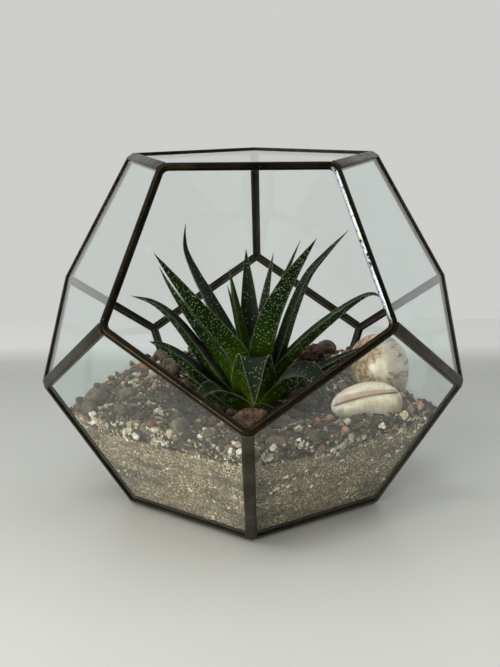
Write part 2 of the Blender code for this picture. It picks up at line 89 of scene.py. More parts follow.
def mouth_frame():
    """Matrix of the open face: origin at its centre, Z outward, Y to its lowest corner."""
    normal = heading(0) * math.sqrt(1 - TILT_Z ** 2) + UP * TILT_Z
    corner = (normal * UP.dot(normal) - UP).normalized()
    turn = Matrix((corner.cross(normal), corner, normal)).transposed().to_4x4()
    return Matrix.Translation(CENTRE + normal * INRADIUS) @ turn


print("face radius and inradius:", FACE_RADIUS, INRADIUS)

# %% [markdown]
# ## Helpers
# Blender's operators act on whatever is selected, so every step starts from nothing
# selected. A finished piece has its place in its mesh and its object at the origin.

# %% Selecting, copying and settling pieces
def deselect():
    """Leave edit mode and select nothing."""
    if bpy.context.mode != "OBJECT":
        bpy.ops.object.mode_set(mode="OBJECT")
    bpy.ops.object.select_all(action="DESELECT")


def pick(obj):
    """Select one object alone."""
    deselect()
    obj.select_set(True)
    bpy.context.view_layer.objects.active = obj


def new_object(name, mesh):
    """Put a mesh into the scene."""
    obj = bpy.data.objects.new(name, mesh)
    bpy.context.scene.collection.objects.link(obj)
    return obj


def just_added(name):
    """The primitive that was just added, under its own name."""
    obj = bpy.context.object
    obj.name = name
    obj.data.name = name
    return obj


def edit_all():
    """Open the active object's mesh with all of it selected."""
    bpy.ops.object.mode_set(mode="EDIT")
    bpy.ops.mesh.select_all(action="SELECT")


def seal(weld, triangles=False):
    """Merge points closer than weld, turn all faces outwards and leave edit mode."""
    bpy.ops.mesh.select_all(action="SELECT")
    bpy.ops.mesh.remove_doubles(threshold=weld)
    if triangles:
        bpy.ops.mesh.quads_convert_to_tris()
    bpy.ops.mesh.normals_make_consistent(inside=False)
    deselect()


def merged_copy(node, name):
    """A copy of a solid's mesh with its loose triangles welded together."""
    obj = new_object(name, nodes[node].data.copy())
    pick(obj)
    bpy.ops.mesh.customdata_custom_splitnormals_clear()
    edit_all()
    bpy.ops.mesh.remove_doubles(threshold=0.01 * MM)
    deselect()
    return obj


def modify(obj, kind, **settings):
    """Add one modifier and apply it."""
    pick(obj)
    modifier = obj.modifiers.new(kind.lower(), kind)
    for key, value in settings.items():
        setattr(modifier, key, value)
    bpy.ops.object.modifier_apply(modifier=modifier.name)


def smooth(obj):
    """Shade one object smooth."""
    pick(obj)
    bpy.ops.object.shade_smooth()


def with_normals(obj):
    """Vertices with their normals, read before any of them is moved."""
    return [(vertex, vertex.normal.copy()) for vertex in obj.data.vertices]


def mark(mesh, name, values, kind="FLOAT"):
    """Keep a value for each vertex, under a name that a finish can read."""
    field = "vector" if kind == "FLOAT_VECTOR" else "value"
    mesh.attributes.new(name, kind, "POINT").data.foreach_set(field, values)


def settle(obj, look, slot, *stands_for):
    """Give a finished piece its finish and body, and hide the solids it stands for; slot is not
    used.
    """
    pick(obj)
    bpy.ops.object.transform_apply()
    obj.data.materials.clear()
    obj.data.materials.append(look)
    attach(obj, BODY)
    if stands_for:
        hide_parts(*stands_for)
    triangles = sum(len(face.vertices) - 2 for face in obj.data.polygons)
    print(obj.name, "triangles:", triangles)


# %% [markdown]
# Every finish is a Principled shader with a few textures in front of it. These helpers
# add a node in one line: an input is either a number or the output of an earlier node.

# %% Building finishes
def finish(name, **constants):
    """A new material whose Principled sockets have these constant values."""
    made = bpy.data.materials.new(name)
    made.use_nodes = True
    paint(made, **constants)
    return made


def shader_of(look):
    return look.node_tree.nodes["Principled BSDF"]


def add(look, kind, inputs=(), **settings):
    """Add a node; inputs maps its sockets to values or to other nodes' outputs."""
    made = look.node_tree.nodes.new("ShaderNode" + kind)
    for key, value in settings.items():
        setattr(made, key, value)
    for key, value in dict(inputs).items():
        feed(look, value, made.inputs[key])
    return made


def feed(look, value, socket):
    """Link an earlier node's output to a socket, or set the socket itself."""
    if isinstance(value, bpy.types.NodeSocket):
        look.node_tree.links.new(value, socket)
    elif socket.type == "RGBA":
        socket.default_value = (*value, 1)
    else:
        socket.default_value = value


def paint(look, **inputs):
    """Feed constants or textures into the Principled sockets, such as Base_Color."""
    for key, value in inputs.items():
        feed(look, value, shader_of(look).inputs[key.replace("_", " ")])


def coordinate(look, kind="Object"):
    return add(look, "TexCoord").outputs[kind]


def attribute(look, name, output="Fac"):
    return add(look, "Attribute", attribute_name=name).outputs[output]


def split(look, vector):
    """X, Y and Z of a vector."""
    return add(look, "SeparateXYZ", {"Vector": vector}).outputs


def stretch(look, vector, scale):
    """A pattern's place, squeezed by a scale on each axis."""
    return add(look, "Mapping", {"Vector": vector, "Scale": scale}).outputs["Vector"]


def speckle(look, scale, detail=4.0, where=None, roughness=0.55):
    """Cloudy noise, 0 to 1."""
    inputs = {"Scale": scale, "Detail": detail, "Roughness": roughness}
    inputs["Vector"] = where or coordinate(look)
    return add(look, "TexNoise", inputs).outputs["Fac"]


def grains(look, scale, output="Distance"):
    """Voronoi cells: Distance gives each grain its form, Color a value of its own."""
    inputs = {"Scale": scale, "Vector": coordinate(look)}
    return add(look, "TexVoronoi", inputs).outputs[output]


def grain_values(look, scale, channel="Red"):
    """A random value for each Voronoi cell, 0 to 1."""
    colour = {"Color": grains(look, scale, "Color")}
    return add(look, "SeparateColor", colour).outputs[channel]


def ramp(look, factor, *stops):
    """Colours along a factor; each stop is (position, (red, green, blue))."""
    made = add(look, "ValToRGB", {"Fac": factor})
    elements = made.color_ramp.elements
    while len(elements) < len(stops):
        elements.new(1)
    for element, (position, colour) in zip(elements, stops):
        element.position = position
        element.color = (*colour, 1)
    return made.outputs["Color"]


def blend(look, factor, a, b, how="MIX"):
    """Mix two colours; 6 and 7 are the node's colour sockets, and 2 is its colour output."""
    inputs = {0: factor, 6: a, 7: b}
    return add(look, "Mix", inputs, data_type="RGBA", blend_type=how).outputs[2]


def between(look, value, low, high, to_low=0.0, to_high=1.0):
    """Value read on a new range, clamped."""
    inputs = {"Value": value, "From Min": low, "From Max": high}
    inputs.update({"To Min": to_low, "To Max": to_high})
    return add(look, "MapRange", inputs).outputs["Result"]


def calculate(look, operation, a, b=0.0, c=0.0):
    inputs = {0: a, 1: b, 2: c}
    return add(look, "Math", inputs, operation=operation).outputs["Value"]


def times(look, a, b):
    return calculate(look, "MULTIPLY", a, b)


def layered(look, share, below, above):
    """Mix the shaders of two nodes."""
    sockets = {0: share, 1: below.outputs[0], 2: above.outputs[0]}
    return add(look, "MixShader", sockets)


def emboss(look, height, depth, strength=1.0):
    """Bump of a real depth in metres."""
    inputs = {"Height": height, "Distance": depth, "Strength": strength}
    paint(look, Normal=add(look, "Bump", inputs).outputs["Normal"])


# %% [markdown]
# ## Camera, table and light
# The camera looks a little down into the open face. A pale table top and a pale room
# give glass and metal something bright to mirror; four soft lamps shape the leaves.
# A band of painted shadow darkens the table top just behind the terrarium.

# %% Camera
CAMERA_PLACE = (0.0130, -0.5139, 0.2109)
YAW, PITCH, ROLL = math.radians(-1.63), math.radians(-13.56), math.radians(-0.57)
bpy.ops.object.camera_add(location=CAMERA_PLACE)
camera = bpy.context.object
turn = (Matrix.Rotation(-YAW, 4, "Z") @ Matrix.Rotation(math.pi / 2 + PITCH, 4, "X")
        @ Matrix.Rotation(ROLL, 4, "Z"))
camera.rotation_euler = turn.to_euler()
camera.data.sensor_fit = "VERTICAL"
camera.data.sensor_height = 36
camera.data.lens = 54.2
camera.data.clip_start = 0.01
bpy.context.scene.camera = camera
bpy.context.scene.view_settings.view_transform = "Standard"
print("camera:", CAMERA_PLACE, "lens:", round(camera.data.lens, 1), "mm")

# %% Table and room
TABLE_MIDDLE = (0, -0.15, 0)
TABLE_SIZE = (1.6, 1.13, 1)
bpy.ops.mesh.primitive_plane_add(size=1, location=TABLE_MIDDLE)
table = just_added("table_top")
table.scale = TABLE_SIZE
table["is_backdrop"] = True
room = bpy.data.worlds.new("room")
bpy.context.scene.world = room
room.use_nodes = True
way = split(room, coordinate(room, "Generated"))
frontness = calculate(room, "MULTIPLY_ADD", way["Z"], -0.1, way["Y"])
backdrop = room.node_tree.nodes["Background"].inputs
feed(room, between(room, frontness, -1.0, 0.95, 0.21, 0.62), backdrop["Strength"])
feed(room, (0.985, 1.0, 0.975), backdrop["Color"])
PLANTING = Vector((0, 0, 0.08))  # the lamps face this place


def lamp(name, place, size, watts, colour=(1, 1, 1)):
    """A square soft lamp that faces the planting."""
    bpy.ops.object.light_add(type="AREA", location=place)
    made = just_added(name)
    made.data.size = size
    made.data.energy = watts
    made.data.color = colour
    aim = PLANTING - Vector(place)
    made.rotation_euler = aim.to_track_quat("-Z", "Y").to_euler()
    print(name, "watts:", watts)


lamp("window_above", (-0.35, -0.50, 1.15), 0.45, 4.6, (1.0, 0.99, 0.96))
lamp("window_in_front", (-0.55, -1.00, 0.20), 0.45, 10.0, (1.0, 0.985, 0.94))
lamp("window_left", (-0.95, -0.05, 0.55), 0.6, 1.8, (0.94, 0.98, 1.0))
lamp("ceiling", (0.50, 0.05, 1.1), 0.9, 2.6, (0.98, 1.0, 1.0))

# %% Table top's finish, with a painted shadow
table_with_painted_shadow = finish("pale_table", Roughness=0.42)
depth = split(table_with_painted_shadow, coordinate(table_with_painted_shadow))["Y"]
# Painted shadow: darker from the front to a band just behind the terrarium, pale at the far
# edge.
paint(table_with_painted_shadow, Base_Color=ramp(table_with_painted_shadow, depth, (0.0, (0.69, 0.69, 0.655)),
                                  (0.20, (0.54, 0.545, 0.525)), (0.33, (0.46, 0.465, 0.45)),
                                  (0.365, (0.50, 0.505, 0.49)), (0.412, (0.80, 0.80, 0.785))))
emboss(table_with_painted_shadow, speckle(table_with_painted_shadow, 90), 0.0002, 0.25)
table.data.materials.append(table_with_painted_shadow)

# %% [markdown]
# ## Glass
# Thin float glass: clear, a trace of green, mirror-smooth but never spotless. The panes'
# solids are already right, so they stay and only get a finish. Soft light and light on its
# way to a lamp pass straight through, as they nearly do through real thin glass; a faint
# dusty film, thicker towards the fill, catches the light. The cut edges are wrapped in
# foil, so they are dark: there the skin's normal no longer points away from the centre.

# %% Glass finish
GLASS_IOR = 1.35  # real glass has 1.5 and would mirror the table over the fill
glass = finish("clear_glass", Base_Color=(0.94, 0.978, 0.968), Roughness=0.0,
               IOR=GLASS_IOR, Transmission_Weight=1.0)
near_fill = between(glass, split(glass, coordinate(glass))["Z"], 0.085, 0.03, 0.003, 0.008)
smears = between(glass, speckle(glass, 45, 6.0), 0.42, 0.72, 0.25, 1.0)
film = add(glass, "BsdfDiffuse", {"Color": (0.55, 0.56, 0.52)})
dusty = layered(glass, times(glass, near_fill, smears), shader_of(glass), film)
ray = add(glass, "LightPath").outputs
soft_ray = calculate(glass, "MAXIMUM", ray["Is Shadow Ray"], ray["Is Diffuse Ray"])
passing = add(glass, "BsdfTransparent", {"Color": (0.94, 0.965, 0.955)})
from_centre = add(glass, "VectorMath", {0: coordinate(glass), 1: CENTRE}, operation="SUBTRACT")
ways = {0: from_centre.outputs["Vector"], 1: coordinate(glass, "Normal")}
outward = add(glass, "VectorMath", ways, operation="DOT_PRODUCT").outputs["Value"]
level = calculate(glass, "ABSOLUTE", outward)  # the inradius, on a pane's two faces
cut_edge = calculate(glass, "LESS_THAN", level, 0.85 * INRADIUS)
foil = add(glass, "BsdfDiffuse", {"Color": (0.022, 0.018, 0.013)})
pane = layered(glass, cut_edge, layered(glass, soft_ray, dusty, passing), foil)
feed(glass, pane.outputs[0], glass.node_tree.nodes["Material Output"].inputs["Surface"])
panes = [name for name in nodes if name.startswith("pane_")]
for name in panes:
    nodes[name].material_slots[0].material = glass
print("panes of glass:", len(panes))

# %% [markdown]
# ## Solder seams
# Copper foil is folded round each pane's edge and flooded with solder, then darkened with
# a bronze patina. The frame's solid has the right strips and mitres, but knife edges, so a
# welded copy of it gets a narrow bevel that rounds every ridge.

# %% Patina finish
def patina(name, dark, warm, worn, metallic):
    """Darkened solder: brown to black in clouds, worn to bare metal in small places."""
    made = finish(name, Metallic=metallic, Specular_IOR_Level=0.12)
    body = ramp(made, speckle(made, 60, 5.0), (0.32, dark), (0.62, warm))
    wear = between(made, speckle(made, 700, 3.0), 0.64, 0.80, 0.0, 0.55)
    paint(made, Base_Color=blend(made, wear, body, worn))
    paint(made, Roughness=between(made, speckle(made, 150, 4.0), 0.3, 0.7, 0.26, 0.44))
    emboss(made, speckle(made, 260, 4.0), 0.0004, 0.35)
    return made


dark_solder = patina("dark_solder", (0.022, 0.019, 0.013), (0.052, 0.045, 0.031),
                     (0.20, 0.18, 0.14), 0.5)

# %% Rounded seams
seams = merged_copy("solder_frame", "soldered_seams")
modify(seams, "BEVEL", width=0.35 * MM, segments=2, limit_method="ANGLE",
       angle_limit=math.radians(28))
pick(seams)
bpy.ops.object.shade_smooth_by_angle(angle=math.radians(40))
settle(seams, dark_solder, "solder", "solder_frame")

# %% [markdown]
# ## Rim
# The open face is edged with one round rod, bent at five corners. Its circle is extruded
# along a side and spun round a corner, five times, until it meets its own start.

# %% Rod round the mouth
ROD = 1.9 * MM
ROD_INSET = 0.6 * MM
ROD_DEPTH = 1.3 * MM
ROD_BEND = 4.8 * MM
BEND_STEPS = 8
side_distance = APOTHEM - ROD_INSET
FIFTH = math.radians(72)
straight = 2 * (side_distance - ROD_BEND) * math.tan(FIFTH / 2)
deselect()
bpy.ops.mesh.primitive_circle_add(vertices=20, radius=ROD, fill_type="NOTHING",
                                  location=(-straight / 2, -side_distance, 0),
                                  rotation=(0, math.pi / 2, 0))
rim = just_added("rim_rod")
bpy.ops.object.transform_apply()
edit_all()
for side in range(5):
    along = Vector((math.cos(FIFTH * side), math.sin(FIFTH * side), 0))
    inward = Vector((-along.y, along.x, 0))
    bpy.ops.mesh.extrude_region_move(TRANSFORM_OT_translate={"value": along * straight})
    bend_centre = -inward * side_distance + along * straight / 2 + inward * ROD_BEND
    bpy.ops.mesh.spin(steps=BEND_STEPS, angle=FIFTH, center=bend_centre, axis=(0, 0, -1))
seal(0.02 * MM)
rim.matrix_world = mouth_frame() @ Matrix.Translation((0, 0, -ROD_DEPTH))
smooth(rim)
bronze = patina("rim_bronze", (0.005, 0.004, 0.0022), (0.018, 0.0135, 0.0075),
                (0.30, 0.23, 0.13), 0.85)
# Painted reflection of a window: a broken, many-coloured streak on the right bar's left side.
where = split(bronze, coordinate(bronze))
right_bar = times(bronze, between(bronze, where["X"], 0.036, 0.040),
                  between(bronze, where["Z"], 0.112, 0.120))
sideways = split(bronze, coordinate(bronze, "Normal"))["X"]
facing = calculate(bronze, "ABSOLUTE", calculate(bronze, "ADD", sideways, 0.62))
broken = between(bronze, speckle(bronze, 330, 5.0), 0.36, 0.46)
band = times(bronze, between(bronze, facing, 0.42, 0.22), broken)
painted_reflection_colours = ramp(bronze, speckle(bronze, 120, 2.0), (0.30, (0.95, 0.80, 0.55)),
                  (0.42, (0.70, 0.90, 1.0)), (0.52, (0.95, 0.98, 1.0)),
                  (0.62, (0.62, 0.75, 1.0)), (0.72, (0.95, 0.72, 0.85)))
skin = shader_of(bronze).inputs["Base Color"].links[0].from_socket
paint(bronze, Base_Color=blend(bronze, times(bronze, right_bar, band), skin, painted_reflection_colours))
settle(rim, bronze, "rim_rod", "mouth_rim")

# %% [markdown]
# ## Sand
# Coarse river sand lies against the glass, grain beside grain. Its solid's sides already
# lie along the panes. Two sizes of Voronoi cells give single grains their own colours, and
# slow noise gives the damp bands and blotches.

# %% Sand finish
sand = finish("river_sand", Roughness=0.92)
fine = ramp(sand, grain_values(sand, 2100), (0.0, (0.020, 0.013, 0.007)),
            (0.42, (0.147, 0.098, 0.047)), (0.78, (0.262, 0.183, 0.093)),
            (0.93, (0.95, 0.79, 0.52)))
coarse = ramp(sand, grain_values(sand, 1150, "Green"), (0.0, (0.012, 0.008, 0.005)),
              (0.30, (0.126, 0.0855, 0.041)), (0.8, (0.216, 0.152, 0.079)),
              (0.97, (0.98, 0.84, 0.60)))
bands = speckle(sand, 42, 7.0, stretch(sand, coordinate(sand), (1, 1, 3.2)))
streaks = speckle(sand, 30, 10.0, stretch(sand, coordinate(sand), (1, 1, 4)))
damp = times(sand, between(sand, bands, 0.32, 0.50, 0.55, 1.05),
             between(sand, streaks, 0.50, 0.60, 1.0, 0.50))
grained = blend(sand, 0.45, fine, coarse)
paint(sand, Base_Color=blend(sand, 1.0, grained, damp, "MULTIPLY"))
emboss(sand, grains(sand, 900), 0.0006, 0.8)
nodes["sand_bed"].material_slots[0].material = sand

# %% [markdown]
# ## Potting mix
# The bed under the gravel is dark, crumbly and uneven. A voxel remesh turns its solid
# into even little faces, and fractal noise pushes them in and out, less so on the sides,
# which have to stay behind the glass.

# %% Bed of dark crumbs
BED_VOXEL = 1.3 * MM
CRUMB_DEPTH = 1.0 * MM
bed = merged_copy("potting_mix", "dark_mix")
modify(bed, "REMESH", mode="VOXEL", voxel_size=BED_VOXEL)
for vertex, normal in with_normals(bed):
    rise = noise.fractal(vertex.co / (4.5 * MM), 1.0, 2.2, 4)
    upward = max(normal.z, 0.0)
    beside_pane = -0.75 < normal.z < -0.2
    inset = (1.2 if beside_pane else 0.35) - 0.3 * rise
    vertex.co += normal * (rise * upward - inset * (1 - upward)) * CRUMB_DEPTH
smooth(bed)
soil = finish("dark_mix", Roughness=0.95)
crumbs = ramp(soil, grain_values(soil, 700), (0.0, (0.008, 0.005, 0.003)),
              (0.5, (0.048, 0.0285, 0.015)), (0.85, (0.125, 0.080, 0.044)),
              (0.97, (0.42, 0.35, 0.25)))
patches = between(soil, speckle(soil, 60, 6.0), 0.38, 0.62, 0.35, 1.1)
paint(soil, Base_Color=blend(soil, 1.0, crumbs, patches, "MULTIPLY"))
emboss(soil, speckle(soil, 500, 6.0), 0.0012, 0.9)
settle(bed, soil, "potting_mix", "potting_mix")

# %% [markdown]
# ## Gravel
# Pumice, crushed brick, lava and grit lie on the mix and show through the glass. Six
# stones, four bits of grit and a grain of sand are broken from spheres by random cuts.
# Copies of them are laid with formulas: on the bed, or pressed flat against the panes.

# %% Broken stones to copy from
def take_form(obj):
    """The points and faces of a form to copy from, which itself is removed."""
    points = np.array([vertex.co for vertex in obj.data.vertices])
    faces = np.array([face.vertices for face in obj.data.polygons])
    bpy.data.objects.remove(obj, do_unlink=True)
    return points, faces


def broken_stone(seed, cuts, detail):
    """A sphere cut by planes into an angular stone about 1 across."""
    rng = random.Random(seed)
    deselect()
    bpy.ops.mesh.primitive_ico_sphere_add(subdivisions=detail, radius=0.5)
    edit_all()
    bpy.ops.transform.vertex_random(offset=0.08, uniform=1.0, normal=0.0, seed=seed)
    for _ in range(cuts):
        normal = Vector([rng.gauss(0, 1) for _ in range(3)]).normalized()
        bpy.ops.mesh.select_all(action="SELECT")
        bpy.ops.mesh.bisect(plane_co=normal * rng.uniform(0.26, 0.40), plane_no=normal,
                            use_fill=True, clear_outer=True)
    seal(0.04, triangles=True)
    return take_form(bpy.context.object)


angular = [broken_stone(seed, 6, 2) for seed in range(1, 7)]
grit_forms = [broken_stone(seed, 3, 1) for seed in range(11, 15)]
grain_form = broken_stone(21, 1, 1)
print("faces of the copied stones:", [len(faces) for _, faces in angular + grit_forms])

# %% Places on the bed and against the glass
def ease(value, low, high):
    """Smooth step from 0 at low to 1 at high."""
    t = min(max((value - low) / (high - low), 0), 1)
    return t * t * (3 - 2 * t)


bed_tree = BVHTree.FromObject(bed, bpy.context.evaluated_depsgraph_get())
BED_REACH = 96 * MM
ABOVE_ALL = 120 * MM  # rays start here and meet the bed from above
PLANT = Vector((0, -4, 0)) * MM


def on_the_bed(rng, count, keep_off=13 * MM):
    """Random places on top of the mix, with the surface's normal."""
    found = []
    while len(found) < count:
        x = rng.uniform(-BED_REACH, BED_REACH)
        y = rng.uniform(-BED_REACH, BED_REACH)
        place, normal, _, _ = bed_tree.ray_cast(Vector((x, y, ABOVE_ALL)), -UP)
        if place is None or normal.z < 0.3 or (place - PLANT).to_2d().length < keep_off:
            continue
        found.append((place, normal))
    return found


def against_the_glass(rng, node, count):
    """Random places on a solid's sides that face the lower panes."""
    mesh = nodes[node].data
    sides = [face for face in mesh.polygons if -0.6 < face.normal.z < -0.3]
    areas = [face.area for face in sides]
    found = []
    for _ in range(count):
        face = rng.choices(sides, areas)[0]
        a, b, c = (mesh.vertices[index].co for index in face.vertices)
        u, v = rng.random(), rng.random()
        if u + v > 1:
            u, v = 1 - u, 1 - v
        found.append((a + (b - a) * u + (c - a) * v, face.normal.copy()))
    return found


# %% Laying the stones
def standing_on(normal):
    """Turn that points Z along a normal."""
    return normal.to_track_quat("Z", "Y").to_matrix().to_4x4()


def lay(rng, place, normal, size, stand):
    """Matrix of a stone of a size lying on a surface; stand is how far it stands proud."""
    spin = Matrix.Rotation(rng.uniform(0, math.tau), 4, "Z")
    shape = Matrix.Diagonal((1, rng.uniform(0.65, 1), rng.uniform(0.5, 0.9), 1))
    tumble = Matrix.Rotation(rng.uniform(-0.5, 0.5), 4, "X")
    at = Matrix.Translation(place + normal * size * stand)
    return at @ standing_on(normal) @ spin @ tumble @ shape @ Matrix.Scale(size, 4)


def press(rng, place, normal, size, proud):
    """Matrix of a stone pressed flat against the glass: thin, and only just proud."""
    spin = Matrix.Rotation(rng.uniform(0, math.tau), 4, "Z")
    half_thick = 0.36 * size
    shape = Matrix.Diagonal((size, size * rng.uniform(0.65, 1), 2.4 * half_thick, 1))
    at = Matrix.Translation(place + normal * (proud - half_thick))
    return at @ standing_on(normal) @ spin @ shape


def press_all(rng, places, sizes, proud=0.16 * MM):
    """Press a stone on each place; sizes are the smallest, largest and usual one in mm."""
    return [press(rng, place, normal, rng.triangular(*sizes) * MM, proud)
            for place, normal in places]


def heap(name, forms, matrices, rng, look, slot):
    """One mesh of many stones, each with its own random tint from 0 to 1."""
    points, faces, tints = [], [], []
    start = 0
    for matrix in matrices:
        form_points, form_faces = rng.choice(forms)
        turned = form_points @ np.array(matrix.to_3x3()).T + np.array(matrix.translation)
        points.append(turned)
        faces.append(form_faces + start)
        tints.append(np.full(len(turned), rng.random()))
        start += len(turned)
    mesh = bpy.data.meshes.new(name)
    mesh.from_pydata(np.concatenate(points), [], np.concatenate(faces))
    mark(mesh, "tint", np.concatenate(tints))
    settle(new_object(name, mesh), look, slot)


def stone_finish(name, low, middle, high, grain, depth):
    """Stone with its own tint per piece, finer mottling on it and a rough skin."""
    made = finish(name, Roughness=0.9)
    body = ramp(made, attribute(made, "tint"), (0.0, low), (0.55, middle), (1.0, high))
    mottle = between(made, speckle(made, grain, 5.0), 0.3, 0.7, 0.55, 1.25)
    paint(made, Base_Color=blend(made, 1.0, body, mottle, "MULTIPLY"))
    emboss(made, speckle(made, grain * 1.6, 5.0), depth, 0.8)
    return made


pumice = stone_finish("pumice", (0.34, 0.27, 0.15), (0.60, 0.52, 0.34), (0.90, 0.87, 0.77),
                      600, 0.0005)
brick = stone_finish("crushed_brick", (0.15, 0.062, 0.034), (0.31, 0.128, 0.064),
                     (0.46, 0.27, 0.165), 700, 0.0003)
clay_lumps = stone_finish("brown_lumps", (0.026, 0.016, 0.009), (0.080, 0.047, 0.025),
                          (0.22, 0.158, 0.100), 500, 0.0007)
beige_grit = stone_finish("beige_grit", (0.070, 0.050, 0.030), (0.22, 0.172, 0.108),
                          (0.56, 0.48, 0.34), 900, 0.0003)
sand_grain = stone_finish("single_grain", (0.018, 0.012, 0.007), (0.152, 0.107, 0.053),
                          (0.98, 0.88, 0.64), 1200, 0.0001)
dark_grit = stone_finish("dark_grit", (0.008, 0.006, 0.004), (0.036, 0.025, 0.015),
                         (0.15, 0.115, 0.075), 900, 0.0003)

# %% Gravel on the bed and against the panes
def clumped(rng, places, count, clump=11 * MM, level=-0.05, low_band=0.0, lean=0.0):
    """Places kept where slow noise is high, so that a kind lies in groups and not evenly.

    A lean above 0 keeps more of them on the left side, where the heap is highest.
    """
    kept = []
    for place, normal in places:
        limit = level + lean * place.x / (100 * MM)
        if noise.noise(place / clump + Vector((low_band * 7, 0, 3))) < limit:
            continue
        high = ease(place.z, 52 * MM, 66 * MM) * ease(place.x, -60 * MM, 0)
        if rng.random() < low_band * high:
            continue
        kept.append((place, normal))
        if len(kept) == count:
            break
    return kept


GRAVEL = (
    # name, finish, forms, how many lie on the bed, against the glass and along the sand's
    # upper edge, smallest, largest and usual size in mm, how strongly the pressed ones
    # keep to the low band just above the sand, the lean, and how far from the plant's
    # middle they begin in mm
    ("brown_lumps", clay_lumps, angular, 140, 66, 0, (3.2, 11, 5.5), 0.2, -0.2, 13),
    ("brick_gravel", brick, angular, 55, 44, 30, (2.6, 7.5, 3.8), 0.3, 0.0, 46),
    ("pumice_gravel", pumice, angular, 220, 360, 170, (1.6, 5.8, 2.7), 0.85, 0.12, 44),
    ("beige_grit", beige_grit, grit_forms, 2000, 850, 280, (0.8, 3.4, 1.4), 0.1, 0.08, 42),
    ("dark_grit", dark_grit, grit_forms, 2600, 1300, 300, (0.8, 3.2, 1.4), 0.0, -0.2, 13),
)
SHELL_FOOT = Vector((57, -33, 50)) * MM  # where the front shell stands
SHELL_ROOM = 18 * MM  # no larger stone lies this near to it
EDGE_BAND = 3.4 * MM  # how near to the mix the sand's upper edge is
rng = random.Random(99)
sand_edge = [spot for spot in against_the_glass(rng, "sand_bed", 12000)
             if bed_tree.find_nearest(spot[0])[3] < EDGE_BAND]
print("places along the sand's upper edge:", len(sand_edge))
for number, row in enumerate(GRAVEL):
    name, look, forms, above, beside, at_edge, sizes, low_band, lean, keep_off = row
    rng = random.Random(100 + number)
    small_kind = sizes[2] < 2
    places = [spot for spot in on_the_bed(rng, above * 3, keep_off=keep_off * MM)
              if small_kind or (spot[0] - SHELL_FOOT).to_2d().length > SHELL_ROOM]
    laid = []
    for place, normal in clumped(rng, places, above, lean=lean):
        size = rng.triangular(*sizes) * MM
        laid.append(lay(rng, place, normal, size, rng.uniform(0.0, 0.3)))
    pressed = clumped(rng, against_the_glass(rng, "potting_mix", beside * 6), beside,
                      low_band=low_band, lean=lean)
    pressed += rng.sample(sand_edge, at_edge)
    proud = (0.22 - 0.05 * (number % 3)) * MM     # kinds that cross don't share one plane
    laid += press_all(rng, pressed, sizes, proud)
    heap(name, forms, laid, rng, look, "potting_mix")

# %% Larger chips at the right corner
CORNER_CHIPS = 20
PALE_CHIPS = 13
rng = random.Random(98)
corner = [spot for spot in against_the_glass(rng, "potting_mix", 5000)
          if spot[0].x > 62 * MM and -48 * MM < spot[0].y < 0]
chips = [press(rng, place, normal, rng.uniform(3.4, 6.2) * MM, 0.2 * MM)
         for place, normal in rng.sample(corner, CORNER_CHIPS)]
print("places at the right corner:", len(corner))
heap("corner_pumice", angular, chips[:PALE_CHIPS], rng, pumice, "potting_mix")
heap("corner_brick", angular, chips[PALE_CHIPS:], rng, brick, "potting_mix")

# %% Stray stones in the sand
rng = random.Random(140)
shell_sand = stone_finish("shell_sand", (0.42, 0.35, 0.22), (0.74, 0.67, 0.48),
                          (0.95, 0.92, 0.84), 900, 0.0002)
sides = clumped(rng, against_the_glass(rng, "sand_bed", 1600), 460, 9 * MM, 0.03)
stray = press_all(rng, sides, (0.7, 4.0, 1.1), 0.3 * MM)
heap("pale_stones_in_sand", angular, stray, rng, shell_sand, "sand")
sides = clumped(rng, against_the_glass(rng, "sand_bed", 3600), 1300, level=0.06)
stray = press_all(rng, sides, (0.6, 2.2, 0.9))
heap("dark_grit_in_sand", grit_forms, stray, rng, dark_grit, "sand")
sides = against_the_glass(rng, "sand_bed", 5200)
single = press_all(rng, sides, (0.40, 1.0, 0.55), 0.12 * MM)
heap("single_sand_grains", [grain_form], single, rng, sand_grain, "sand")

# %% [markdown]
# ## Rootlets
# Fine dark root hairs stand out of the mix, most of them round the foot of the front
# shell. Each is a tiny square extruded in short steps that wander, and shrunk as it goes.

# %% Fine dark rootlets
def rootlet_form(seed):
    """A wandering hair about 1 long, with four sides."""
    rng = random.Random(seed)
    deselect()
    bpy.ops.mesh.primitive_circle_add(vertices=4, radius=0.016, fill_type="NGON")
    edit_all()
    for _ in range(7):
        step = (rng.gauss(0, 0.07), rng.gauss(0, 0.07), rng.uniform(0.09, 0.17))
        bpy.ops.mesh.extrude_region_move(TRANSFORM_OT_translate={"value": step})
        bpy.ops.transform.resize(value=(0.86, 0.86, 0.86))
    seal(0.0001, triangles=True)
    return take_form(bpy.context.object)


rng = random.Random(160)
root_brown = stone_finish("root_brown", (0.016, 0.010, 0.006), (0.040, 0.026, 0.015),
                          (0.12, 0.085, 0.05), 900, 0.0001)
hairs = []
for place, _ in on_the_bed(rng, 5200):
    near_shell = (place - SHELL_FOOT).to_2d().length < 21 * MM
    if rng.random() > (0.55 if near_shell else 0.05):
        continue
    lean = Matrix.Rotation(rng.triangular(0, 1.5, 0.9), 4, "X")
    spin = Matrix.Rotation(rng.uniform(0, math.tau), 4, "Z")
    length = rng.triangular(2.0, 8.0, 3.2) * MM
    hairs.append(Matrix.Translation(place) @ spin @ lean @ Matrix.Scale(length, 4))
print("rootlets:", len(hairs))
forms = [rootlet_form(seed) for seed in (1, 2, 3)]
heap("rootlets", forms, hairs, rng, root_brown, "potting_mix")
